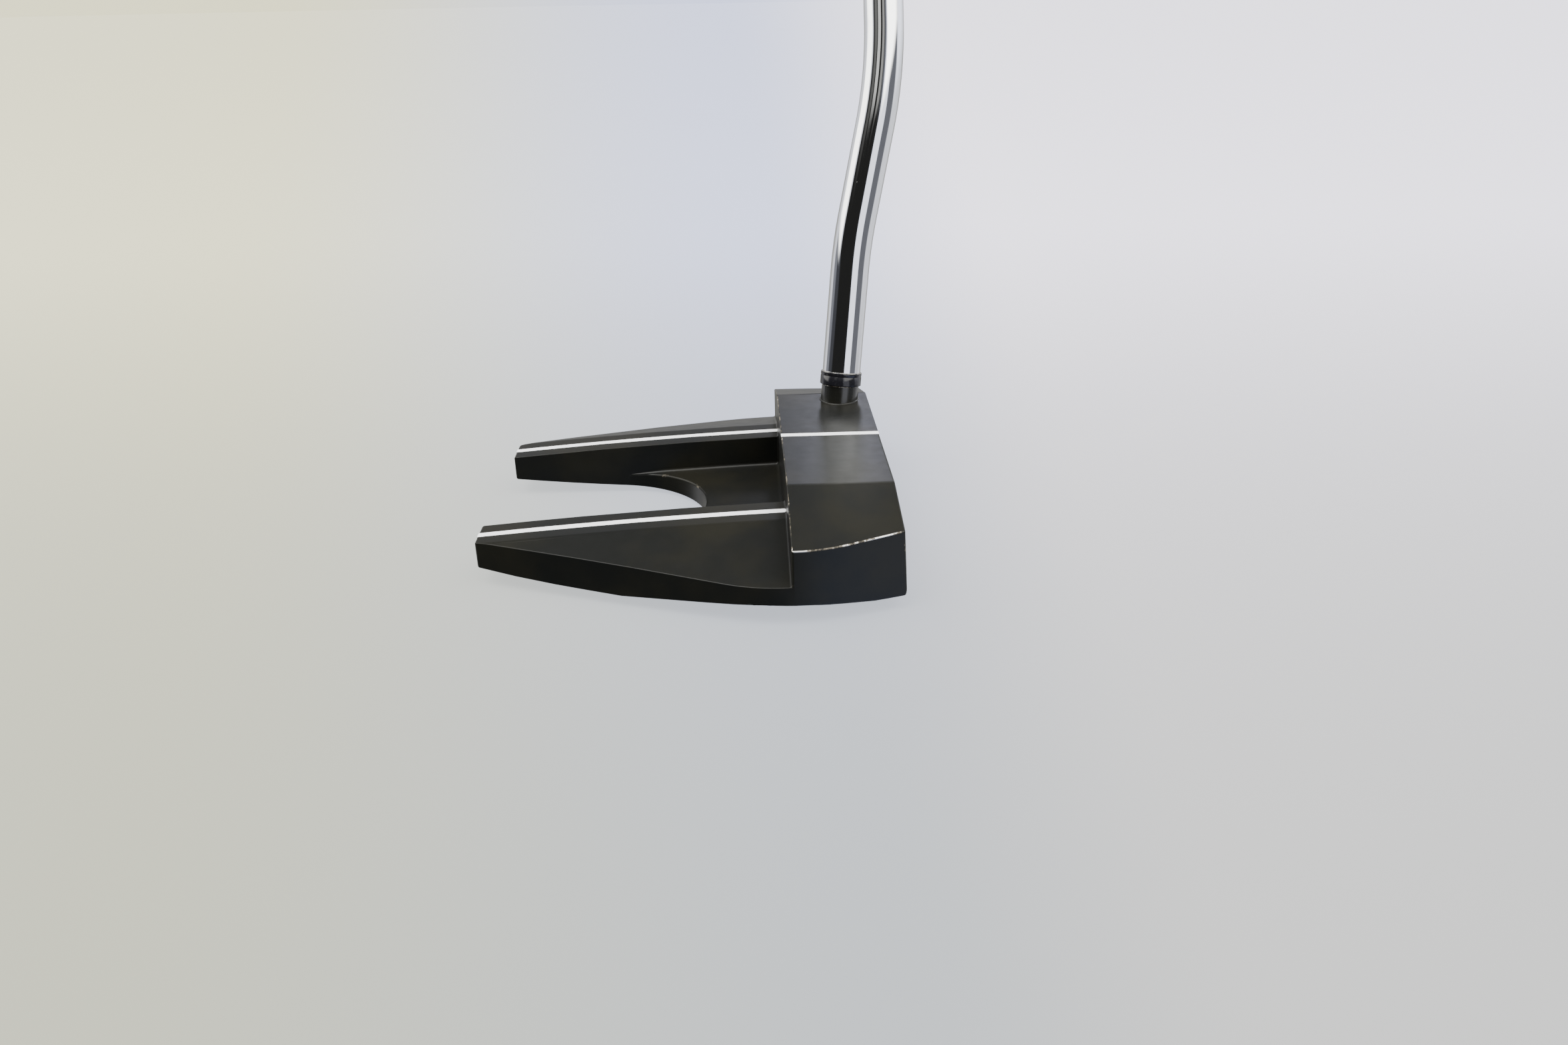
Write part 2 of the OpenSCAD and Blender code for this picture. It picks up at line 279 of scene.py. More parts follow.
def line_paint():
    s = Shader("line_paint")
    dirt = s.ramp(s.noise(420, detail=5, roughness=0.7), 0.52, 0.78)
    pits = s.specks(260, 0.16 * MM, 0.06)
    grime = s.math("MAXIMUM", s.math("MULTIPLY", dirt, 0.22), s.math("MULTIPLY", pits, 0.55))
    colour = s.mix(grime, (0.93, 0.93, 0.95), (0.30, 0.28, 0.24))
    roughness = s.ramp(s.noise(900), 0.3, 0.7, 0.38, 0.55)
    return s.out(Base_Color=colour, Roughness=roughness, Normal=s.bump(s.noise(2600), 0.01 * MM, 0.5))


def chrome():
    s = Shader("shaft_chrome")
    haze = s.ramp(s.noise(700, detail=6, roughness=0.75), 0.45, 0.8)
    marks = s.specks(230, 0.14 * MM, 0.10)
    colour = s.mix(haze, (0.83, 0.84, 0.86), (0.74, 0.76, 0.79))
    colour = s.mix(s.math("MULTIPLY", marks, 0.5), colour, (0.45, 0.43, 0.40))
    roughness = s.math("MULTIPLY_ADD", haze, 0.035, s.math("MULTIPLY_ADD", marks, 0.25, 0.045))
    ripple = s.bump(s.noise(45, detail=2), 0.02 * MM, 0.35)
    return s.out(Base_Color=colour, Metallic=1.0, Roughness=roughness, Normal=ripple)


def ferrule_gloss():
    s = Shader("ferrule_gloss")
    dust = s.ramp(s.noise(1300, detail=5), 0.55, 0.8)
    # The collar's 'wear' attribute marks its top lip, which is painted lighter and rougher: a painted
    # highlight on the lip.
    wear = s.attribute("wear")
    lip_sheen = s.ramp(s.math("SUBTRACT", wear, s.noise(900, detail=4)), 0.0, 0.12)
    colour = s.mix(dust, (0.007, 0.007, 0.009), (0.020, 0.020, 0.021))
    colour = s.mix(s.math("MULTIPLY", lip_sheen, 0.8), colour, (0.20, 0.19, 0.17))
    roughness = s.math("MULTIPLY_ADD", dust, 0.18, s.math("MULTIPLY_ADD", lip_sheen, 0.2, 0.14))
    return s.out(Base_Color=colour, Roughness=roughness, Specular_IOR_Level=0.32,
                 Normal=s.bump(s.noise(2400), 0.004 * MM, 0.5))


def insert_polymer():
    s = Shader("insert_polymer")
    cells = s.add("ShaderNodeTexVoronoi", feature="SMOOTH_F1")
    s.join(s.place, cells.inputs["Vector"])
    cells.inputs["Scale"].default_value = 1100
    cloudy = s.noise(160, detail=4)
    colour = s.mix(cloudy, (0.009, 0.009, 0.010), (0.019, 0.019, 0.020))
    roughness = s.ramp(cloudy, 0.3, 0.7, 0.52, 0.66)
    normal = s.bump(cells.outputs["Distance"], 0.05 * MM, 0.7)
    return s.out(Base_Color=colour, Roughness=roughness, Normal=normal, Specular_IOR_Level=0.25)


def adhesive():
    s = Shader("adhesive")
    cloudy = s.noise(500, detail=4)
    colour = s.mix(cloudy, (0.62, 0.55, 0.36), (0.74, 0.69, 0.52))
    return s.out(Base_Color=colour, Roughness=s.ramp(cloudy, 0.3, 0.7, 0.3, 0.5),
                 Normal=s.bump(s.noise(1500), 0.02 * MM, 0.5))


def creped_tape():
    s = Shader("grip_tape")
    creases = s.noise(900, detail=3, stretch=(0.3, 0.3, 1.6))
    # The colour follows the creases' bump height and is darker in their low parts: painted shade in the
    # creases.
    colour = s.mix(creases, (0.66, 0.58, 0.40), (0.80, 0.73, 0.55))
    return s.out(Base_Color=colour, Roughness=s.ramp(creases, 0.3, 0.7, 0.7, 0.85),
                 Normal=s.bump(creases, 0.05 * MM, 0.7))


def grip_rubber():
    s = Shader("grip_rubber")
    shine = s.noise(90, detail=4)
    colour = s.mix(shine, (0.012, 0.012, 0.013), (0.022, 0.022, 0.023))
    dust = s.ramp(s.noise(700, detail=6, roughness=0.7), 0.56, 0.8)
    colour = s.mix(s.math("MULTIPLY", dust, 0.5), colour, (0.08, 0.078, 0.075))
    roughness = s.ramp(shine, 0.3, 0.7, 0.55, 0.72)
    return s.out(Base_Color=colour, Roughness=roughness, Specular_IOR_Level=0.22,
                 Normal=s.bump(s.noise(3000), 0.03 * MM, 0.6))


# ---------------------------------------------------------------- head

# Each kind of edge: its rounding, as the distance that this takes from each face, and its wear
UNROUNDED = (0, 0)
BOSS_FOOT = (0.35 * MM, 0.3)
BOSS_RIM = (0.28 * MM, 0.5)
GROOVE_LIP = (0.07 * MM, 0.1)
POCKET_LIP = (0.15 * MM, 0.2)
FLOOR_CORNER = (0.9 * MM, 0.0)
INNER_CORNER = (0.45 * MM, 0.1)
SHALLOW_EDGE = (0.5 * MM, 0.0)
SOLE_RIM = (0.42 * MM, 0.05)
TIP_UPRIGHT = (0.6 * MM, 0.1)
PRONG_UPRIGHT = (0.5 * MM, 0.2)
BLOCK_UPRIGHT = (0.42 * MM, 0.35)
FLOOR_PLATE_EDGE = (0.5 * MM, 0.36)
CROWN_END = (0.24 * MM, 0.52)
CROWN_FRONT = (0.4 * MM, 0.22)
CROWN_REAR = (0.26 * MM, 0.42)
TIP_TOP = (0.45 * MM, 0.35)
PRONG_TOP = (0.17 * MM, 0.30)

# The bevel's full width, of which each edge takes a share
WIDEST_ROUND = 2.0 * MM
ROUND_STEPS = 4
FLAT_ENOUGH = math.radians(0.5)
SMOOTH_UNDER = math.radians(10)
SHALLOW_UNDER = math.radians(17)
SHARP_OVER = math.radians(38)
# Wear reaches this far from the edge as it was before rounding
WORN_REACH = 0.7 * MM

# The rim of the sole is lifted where the photo shows it higher than the CAD part
RIM_BELOW_Z = 4 * MM
RIM_BEYOND_Y = 22 * MM
LIFT_MIDDLE_X = -38 * MM
LIFT_HALF_LENGTH = 34 * MM
PRONG_LIFT = 1.0 * MM
CORNER_LIFT = 0.65 * MM
LIFT_FADE = (0.8 * MM, 8 * MM)


def near_line(p):
    """Is a point on the groove of one of the three sight lines?"""
    reach = LINE_HALF + 0.2 * MM
    if p.x > BLOCK_REAR_X - 0.3 * MM:
        return abs(p.y) < reach and p.z > CROWN_Z - 0.7 * MM
    return abs(abs(p.y) - LINE_Y) < reach and p.z > 9 * MM


def post_distance(p):
    """How far a point is from the axis of the shaft's post, and how far up along it."""
    along = (p - POST_FOOT).dot(LOW_RUN)
    return ((p - POST_FOOT) - LOW_RUN * along).length, along


def boss_edge(angle, from_post, up_post):
    """An edge on or near the boss: its foot and its rim are rounded, and the post above isn't."""
    if abs(angle) < math.radians(30) or up_post > BOSS_H + 0.5 * MM or from_post < 4.3 * MM:
        return UNROUNDED
    return BOSS_FOOT if angle < 0 else BOSS_RIM


def upright_edge(p):
    """An edge between two upright faces."""
    if p.x < TIP_X + 1 * MM:
        return TIP_UPRIGHT
    if p.x < BLOCK_REAR_X - 2 * MM:
        return PRONG_UPRIGHT
    return BLOCK_UPRIGHT


def top_edge(p):
    """An edge of a face that looks up."""
    if p.z < 8 * MM and abs(p.y) < PRONG_INNER_Y + 0.5 * MM:
        return FLOOR_PLATE_EDGE
    if p.x > BLOCK_REAR_X + 0.02 * MM and abs(p.y) > 40 * MM:
        return CROWN_END
    if p.x > FACE_X - 1 * MM:
        return CROWN_FRONT
    if p.x > BLOCK_REAR_X - 0.3 * MM:
        return CROWN_REAR
    if p.x < TIP_X + 0.5 * MM:
        return TIP_TOP
    return PRONG_TOP


def edge_kind(edge):
    """(rounding, wear) of one edge of the head. Its angle is below 0 in an inner corner."""
    angle = edge.calc_face_angle_signed(0.0)
    p = (edge.verts[0].co + edge.verts[1].co) / 2
    a, b = (f.normal for f in edge.link_faces)
    from_post, up_post = post_distance(p)
    if from_post < BOSS_RADIUS + 0.4 * MM and up_post > -1 * MM:
        return boss_edge(angle, from_post, up_post)
    if abs(angle) < SMOOTH_UNDER:
        return UNROUNDED
    if p.x > FACE_X - 6 * MM and p.z < 4 * MM and abs(angle) < math.radians(25):
        return UNROUNDED
    if near_line(p):
        return GROOVE_LIP if angle > 0 else UNROUNDED
    if p.x > FACE_X - 5 * MM and abs(p.y) < 38.5 * MM and 3.8 * MM < p.z < 17.4 * MM:
        at_surface = p.x > FACE_X - 0.1 * MM + (CROWN_Z - p.z) * 0.045
        return POCKET_LIP if at_surface and angle > 0 else UNROUNDED
    if angle < 0:
        on_floor = p.x < BLOCK_REAR_X + 1 * MM and p.z < 8 * MM
        return FLOOR_CORNER if on_floor else INNER_CORNER
    if abs(angle) < SHALLOW_UNDER:
        return SHALLOW_EDGE
    if min(a.z, b.z) < -0.5:
        return SOLE_RIM
    if max(abs(a.z), abs(b.z)) < 0.3:
        return upright_edge(p)
    return top_edge(p)


def weighted_copy():
    """The CAD head joined up, with bevel weights, and its edges to be rounded as (end, end, wear)."""
    bm = bmesh.new()
    bm.from_mesh(nodes["head_body"].data)
    bmesh.ops.remove_doubles(bm, verts=bm.verts, dist=0.003 * MM)
    bmesh.ops.dissolve_degenerate(bm, edges=bm.edges, dist=0.001 * MM)
    bmesh.ops.dissolve_limit(bm, angle_limit=FLAT_ENOUGH, verts=bm.verts, edges=bm.edges)
    bm.normal_update()
    weights = bm.edges.layers.float.new("bevel_weight_edge")
    rounded = []
    for edge in bm.edges:
        if len(edge.link_faces) != 2:
            continue
        rounding, wear = edge_kind(edge)
        edge[weights] = rounding / WIDEST_ROUND
        if rounding:
            rounded.append((edge.verts[0].co.copy(), edge.verts[1].co.copy(), wear))
    mesh = bpy.data.meshes.new("head_rough")
    bm.to_mesh(mesh)
    bm.free()
    return mesh, rounded


def bevelled(rough):
    """A new mesh with the weighted edges rounded. The roundings' faces are in material slot 1."""
    rough.materials.append(None)
    rough.materials.append(None)
    maker = link(bpy.data.objects.new("head_maker", rough))
    bevel = maker.modifiers.new("round", "BEVEL")
    bevel.limit_method = "WEIGHT"
    bevel.width = WIDEST_ROUND
    bevel.segments = ROUND_STEPS
    bevel.use_clamp_overlap = False
    bevel.material = 1
    bevel.miter_outer = "MITER_SHARP"
    graph = bpy.context.evaluated_depsgraph_get()
    mesh = bpy.data.meshes.new_from_object(maker.evaluated_get(graph))
    bpy.data.objects.remove(maker)
    mesh.name = "head"
    mesh.validate()
    return mesh


def lift_sole(mesh, rounded):
    """Lifts the rim of the sole beside the prongs and at the front corners, fading out inwards."""
    rim = [
        (a, b, wear) for a, b, wear in rounded
        if max(a.z, b.z) < RIM_BELOW_Z and min(abs(a.y), abs(b.y)) > RIM_BEYOND_Y
    ]
    for vertex in mesh.vertices:
        if vertex.co.z < RIM_BELOW_Z + 0.3 * MM and abs(vertex.co.y) > RIM_BEYOND_Y - 0.5 * MM:
            inward = nearest_edge(vertex.co, rim)[0]
            vertex.co.z += sole_lift(vertex.co) * (1 - smoothstep(*LIFT_FADE, inward))


def mark_faces(mesh, rounded):
    """Writes the wear of the roundings and the gloss of the boss's side, and puts all faces in slot 0."""
    wear = mesh.attributes.new("wear", "FLOAT", "FACE")
    gloss = mesh.attributes.new("gloss", "FLOAT", "FACE")
    for polygon in mesh.polygons:
        from_post, up_post = post_distance(polygon.center)
        if abs(from_post - BOSS_RADIUS) < 0.3 * MM and up_post > 0.05 * MM:
            gloss.data[polygon.index].value = 1
        if polygon.material_index == 1:
            wear.data[polygon.index].value = wear_at(polygon.center, rounded)
        polygon.material_index = 0


def head():
    """The CAD head with its edges rounded, the rim of its sole lifted and its wear in a face attribute."""
    rough, rounded = weighted_copy()
    mesh = bevelled(rough)
    lift_sole(mesh, rounded)
    mark_faces(mesh, rounded)
    mesh.shade_smooth()
    mesh.set_sharp_from_angle(angle=SHARP_OVER)
    obj = piece("head", mesh, head_finish(), "head_finish", "head_body")
    level = obj.modifiers.new("flat_faces", "WEIGHTED_NORMAL")
    level.keep_sharp = True
    level.weight = 80


def sole_lift(p):
    """How far the rim of the sole is lifted: most halfway along the prongs, and at the front corners."""
    away = min(abs(p.x - LIFT_MIDDLE_X) / LIFT_HALF_LENGTH, 1)
    along_prong = PRONG_LIFT * math.cos(away * math.pi / 2) ** 2
    forward = smoothstep(4 * MM, 12.2 * MM, p.x)
    outward = smoothstep(38 * MM, 46 * MM, abs(p.y))
    return along_prong + CORNER_LIFT * forward * outward


def nearest_edge(p, edges):
    """Distance to the nearest of some edges, and that edge's wear."""
    nearest, found = 1.0, 0.0
    for a, b, wear in edges:
        run = b - a
        t = min(max((p - a).dot(run) / max(run.length_squared, 1e-12), 0), 1)
        gap = (p - a - run * t).length
        if gap < nearest:
            nearest, found = gap, wear
    return nearest, found


def wear_at(p, rounded):
    """Wear of the rounded edge nearest to a point."""
    gap, wear = nearest_edge(p, rounded)
    return wear if gap < WORN_REACH else 0.0


# ---------------------------------------------------------------- shaft and collar

TUBE_SIDES = 96
TIP_RADIUS = 4.7 * MM
BUTT_RADIUS = 7.35 * MM
SHAFT_WALL = 0.55 * MM
# The taper starts this far above the upper bend's corner, and ends this far below the shaft's top
TAPER_START = 150 * MM
BUTT_LENGTH = 276 * MM
BEND_STEPS = 36
COLLAR_SIDES = 128
COLLAR_RADIUS = 5.1 * MM
COLLAR_HEIGHT = 3.3 * MM
COLLAR_FOOT_ROUND = 0.15 * MM
COLLAR_TOP_ROUND = 0.32 * MM
COLLAR_GROOVE = 0.08 * MM
# How strongly the collar's top lip is painted lighter: a painted highlight
COLLAR_LIP_SHEEN = 0.62


def top_point(name):
    """The vertex of a CAD node that lies furthest along the upper shaft."""
    return max((v.co for v in nodes[name].data.vertices), key=lambda p: p.dot(HIGH_RUN))


def shaft_line():
    """Points, directions and radii along the shaft, from the boss to its top."""
    shaft_end = (top_point("shaft") - HIGH_CORNER).dot(HIGH_RUN)
    taper_end = shaft_end - BUTT_LENGTH
    rows = [(POST_FOOT + LOW_RUN * BOSS_H, LOW_RUN, TIP_RADIUS)]
    for corner, before, after in ((LOW_CORNER, LOW_RUN, MID_RUN), (HIGH_CORNER, MID_RUN, HIGH_RUN)):
        half = before.angle(after) / 2
        start = corner - before * BEND_RADIUS * math.tan(half)
        side = (after - before * after.dot(before)).normalized()
        for i in range(BEND_STEPS + 1):
            angle = 2 * half * i / BEND_STEPS
            point = start + before * BEND_RADIUS * math.sin(angle)
            point = point + side * BEND_RADIUS * (1 - math.cos(angle))
            rows.append((point, before * math.cos(angle) + side * math.sin(angle), TIP_RADIUS))
    rows.append((HIGH_CORNER + HIGH_RUN * TAPER_START, HIGH_RUN, TIP_RADIUS))
    rows.append((HIGH_CORNER + HIGH_RUN * taper_end, HIGH_RUN, BUTT_RADIUS))
    rows.append((HIGH_CORNER + HIGH_RUN * shaft_end, HIGH_RUN, BUTT_RADIUS))
    return rows


def shaft():
    """The bent tube, open at both ends. Each ring is turned as little as possible from the last."""
    rows = shaft_line()
    side_a, _ = sideways(rows[0][1])
    outer, inner = [], []
    for point, direction, radius in rows:
        side_a = (side_a - direction * side_a.dot(direction)).normalized()
        side_b = direction.cross(side_a)
        outer.append(circle(point, side_a, side_b, radius, TUBE_SIDES))
        inner.append(circle(point, side_a, side_b, radius - SHAFT_WALL, TUBE_SIDES))
    mesh = rings_mesh("shaft_tube", outer + inner[::-1], closed=True)
    mesh.set_sharp_from_angle(angle=math.radians(40))
    piece("shaft_tube", mesh, chrome(), "shaft_chrome", "shaft")


def quarter_round(centre_r, centre_h, size, first):
    """Points of a quarter circle in a turned profile, from a first angle in degrees."""
    angles = [math.radians(first + 15 * i) for i in range(7)]
    return [(centre_r + size * math.cos(angle), centre_h + size * math.sin(angle)) for angle in angles]


def collar():
    """Ferrule between the boss and the shaft: a short ring, with a fine groove under its lip, whose top is
    painted lighter as a painted highlight.
    """
    waist = COLLAR_RADIUS - COLLAR_GROOVE
    profile = [(TIP_RADIUS, 0)]
    profile += quarter_round(
        COLLAR_RADIUS - COLLAR_FOOT_ROUND, COLLAR_FOOT_ROUND, COLLAR_FOOT_ROUND, -90)
    profile += [(COLLAR_RADIUS, 2.1 * MM), (waist, 2.2 * MM)]
    profile += [(waist, 2.35 * MM), (COLLAR_RADIUS, 2.45 * MM)]
    profile += quarter_round(
        COLLAR_RADIUS - COLLAR_TOP_ROUND, COLLAR_HEIGHT - COLLAR_TOP_ROUND, COLLAR_TOP_ROUND, 0)
    profile.append((TIP_RADIUS, COLLAR_HEIGHT))
    side_a, side_b = sideways(LOW_RUN)
    base = POST_FOOT + LOW_RUN * BOSS_H
    rings = [circle(base + LOW_RUN * h, side_a, side_b, r, COLLAR_SIDES) for r, h in profile]
    mesh = rings_mesh("collar_ring", rings, closed=True)
    mesh.set_sharp_from_angle(angle=math.radians(50))
    # The 'wear' attribute here holds a painted highlight along the top lip of the ring.
    wear = mesh.attributes.new("wear", "FLOAT", "POINT")
    for vertex in mesh.vertices:
        below_top = (vertex.co - base).dot(LOW_RUN) - COLLAR_HEIGHT
        wear.data[vertex.index].value = smoothstep(-0.45 * MM, -0.1 * MM, below_top) * COLLAR_LIP_SHEEN
    piece("collar_ring", mesh, ferrule_gloss(), "ferrule", "ferrule_collar")


# ---------------------------------------------------------------- grip

GRIP_SIDES = 168
GRIP_FLAT = 9.1 * MM
GRIP_LOW_RADIUS = 9.8 * MM
GRIP_HIGH_RADIUS = 13.5 * MM
GRIP_LIP_RADIUS = 8.7 * MM
GRIP_LIP_H = 6 * MM
GRIP_EDGE_ROUND = 2.2 * MM
GRIP_START_ROUND = 1.2 * MM
GRIP_BORE = 7.5 * MM
GRIP_LIP_BORE = 7.35 * MM
GRIP_STEPS = 400

# The moulded pattern: lines across the flat front, and staggered marks round the back
LINE_PITCH = 4.0 * MM
LINE_DEPTH = 0.25 * MM
MARK_PITCH = 5.0 * MM
MARKS_ROUND = 28
MARK_DEPTH = 0.35 * MM

CAP_RADIUS = GRIP_HIGH_RADIUS - 0.05 * MM
CAP_THICK = 5 * MM
CAP_EDGE_ROUND = 1.9 * MM
CAP_RING_DEPTH = 0.3 * MM
VENT_RADIUS = 1.2 * MM


def flat_front_radius(angle, radius):
    """Distance from the shaft's axis to the grip's surface: a circle with a flat front, softly joined."""
    front = math.cos(angle)
    if front <= 0.05:
        return radius
    flat = GRIP_FLAT / front
    blend = GRIP_EDGE_ROUND
    gap = max(blend - abs(flat - radius), 0) / blend
    return min(flat, radius) - gap * gap * blend * 0.16


def grip_groove(angle, h, length):
    """Depth of the moulded pattern at an angle from the front and a height up the grip."""
    ends = smoothstep(16 * MM, 22 * MM, h) * (1 - smoothstep(length - 22 * MM, length - 16 * MM, h))
    wrapped = (angle + math.pi) % (2 * math.pi) - math.pi
    if abs(wrapped) < math.radians(38):
        wave = math.cos(2 * math.pi * h / LINE_PITCH)
        edge = 1 - smoothstep(math.radians(24), math.radians(31), abs(wrapped))
        return LINE_DEPTH * smoothstep(0.45, 0.9, wave) * edge * ends
    row = math.floor(h / MARK_PITCH)
    along = (h / MARK_PITCH) % 1.0
    across = (wrapped * MARKS_ROUND / (2 * math.pi) + 0.5 * (row % 2)) % 1.0
    from_mark = math.hypot(along - 0.5, (across - 0.5) * 0.8)
    edge = smoothstep(math.radians(42), math.radians(52), abs(wrapped))
    return MARK_DEPTH * (1 - smoothstep(0.18, 0.30, from_mark)) * edge * ends


def grip_outline(h, length):
    """Radius of the grip at a height, before its flat front is cut: a lip, then a widening taper."""
    if h < GRIP_LIP_H:
        radius = GRIP_LIP_RADIUS + (GRIP_LOW_RADIUS - GRIP_LIP_RADIUS) * h / GRIP_LIP_H
    else:
        share = (h - GRIP_LIP_H) / (length - GRIP_LIP_H)
        radius = GRIP_LOW_RADIUS + (GRIP_HIGH_RADIUS - GRIP_LOW_RADIUS) * share
    return radius


def grip_sleeve():
    """The rubber sleeve, from its lip up to the cap, bored for the taped shaft."""
    start = min((v.co for v in nodes["grip"].data.vertices), key=lambda p: p.dot(HIGH_RUN))
    low = (start - HIGH_CORNER).dot(HIGH_RUN)
    length = (top_point("grip") - HIGH_CORNER).dot(HIGH_RUN) - low
    side = HIGH_RUN.cross(GRIP_FRONT)
    heights = [0, 0.25 * MM, 0.6 * MM, GRIP_START_ROUND]
    heights += [2 * MM + (length - 2 * MM) * i / GRIP_STEPS for i in range(GRIP_STEPS + 1)]
    outer = []
    for h in heights:
        radius = grip_outline(h, length)
        from_end = 1 - min(h / GRIP_START_ROUND, 1)
        round_off = 0.5 * MM * (1 - math.sqrt(max(1 - from_end ** 2, 0)))
        ring = []
        for i in range(GRIP_SIDES):
            angle = 2 * math.pi * i / GRIP_SIDES
            r = flat_front_radius(angle, radius) - round_off - grip_groove(angle, h, length)
            way = GRIP_FRONT * math.cos(angle) + side * math.sin(angle)
            ring.append(HIGH_CORNER + HIGH_RUN * (low + h) + way * r)
        outer.append(ring)
    bore_rows = (
        (length, GRIP_BORE), (GRIP_LIP_H, GRIP_BORE), (GRIP_LIP_H, GRIP_LIP_BORE), (0, GRIP_LIP_BORE),
    )
    bore = [
        circle(HIGH_CORNER + HIGH_RUN * (low + h), GRIP_FRONT, side, r, GRIP_SIDES)
        for h, r in bore_rows
    ]
    mesh = rings_mesh("grip_sleeve", outer + bore, closed=True)
    mesh.set_sharp_from_angle(angle=math.radians(55))
    piece("grip_sleeve", mesh, grip_rubber(), "grip_rubber", "grip")


def cap_profile():
    """(inset from the outline, height) of the cap's rings: its side, its rounding and a shallow ring."""
    rows = [(0.0, 0.0)]
    for i in range(9):
        angle = math.radians(90 * i / 8)
        height = CAP_THICK - CAP_EDGE_ROUND + CAP_EDGE_ROUND * math.sin(angle)
        rows.append((CAP_EDGE_ROUND * (1 - math.cos(angle)), height))
    sunk = CAP_THICK - CAP_RING_DEPTH
    return rows + [(4.2 * MM, CAP_THICK), (4.5 * MM, sunk), (5.4 * MM, sunk), (5.7 * MM, CAP_THICK)]


def grip_end():
    """Cap of the grip: the sleeve's outline, rounded over, with a shallow ring and the vent hole."""
    base = HIGH_CORNER + HIGH_RUN * (top_point("grip") - HIGH_CORNER).dot(HIGH_RUN)
    side = HIGH_RUN.cross(GRIP_FRONT)
    rings = []
    for inset, h in cap_profile():
        ring = []
        for i in range(GRIP_SIDES):
            angle = 2 * math.pi * i / GRIP_SIDES
            r = flat_front_radius(angle, CAP_RADIUS)
            r = r - inset * r / GRIP_HIGH_RADIUS
            ring.append(base + HIGH_RUN * h + (GRIP_FRONT * math.cos(angle) + side * math.sin(angle)) * r)
        rings.append(ring)
    vent_rows = ((VENT_RADIUS + 0.3 * MM, CAP_THICK), (VENT_RADIUS, CAP_THICK - 0.25 * MM), (VENT_RADIUS, 0))
    for r, h in vent_rows:
        rings.append(circle(base + HIGH_RUN * h, GRIP_FRONT, side, r, GRIP_SIDES))
    mesh = rings_mesh("grip_end", rings, closed=True)
    mesh.set_sharp_from_angle(angle=math.radians(40))
    piece("grip_end", mesh, grip_rubber(), "grip_rubber", "grip_cap")


# ---------------------------------------------------------------- stage, light and camera

CAMERA_PLACE = Vector((-19.5, -255.9, 115.3)) * MM
CAMERA_DOWN = math.radians(24.37)
CAMERA_TURN = math.radians(1.91)
CAMERA_ROLL = math.radians(-0.97)
CAMERA_LENS = 27.05


def camera():
    ahead = Vector((
        math.sin(CAMERA_TURN) * math.cos(CAMERA_DOWN),
        math.cos(CAMERA_TURN) * math.cos(CAMERA_DOWN),
        -math.sin(CAMERA_DOWN),
    ))
    level = Vector((math.cos(CAMERA_TURN), -math.sin(CAMERA_TURN), 0))
    upward = level.cross(ahead)
    right = level * math.cos(CAMERA_ROLL) + upward * math.sin(CAMERA_ROLL)
    top = upward * math.cos(CAMERA_ROLL) - level * math.sin(CAMERA_ROLL)
    turn = Matrix((right, top, -ahead)).transposed()
    data = bpy.data.cameras.new("camera")
    data.lens = CAMERA_LENS
    data.sensor_width = 36
    data.clip_start = 0.01
    obj = link(bpy.data.objects.new("camera", data))
    obj.matrix_world = Matrix.Translation(CAMERA_PLACE) @ turn.to_4x4()
    bpy.context.scene.camera = obj


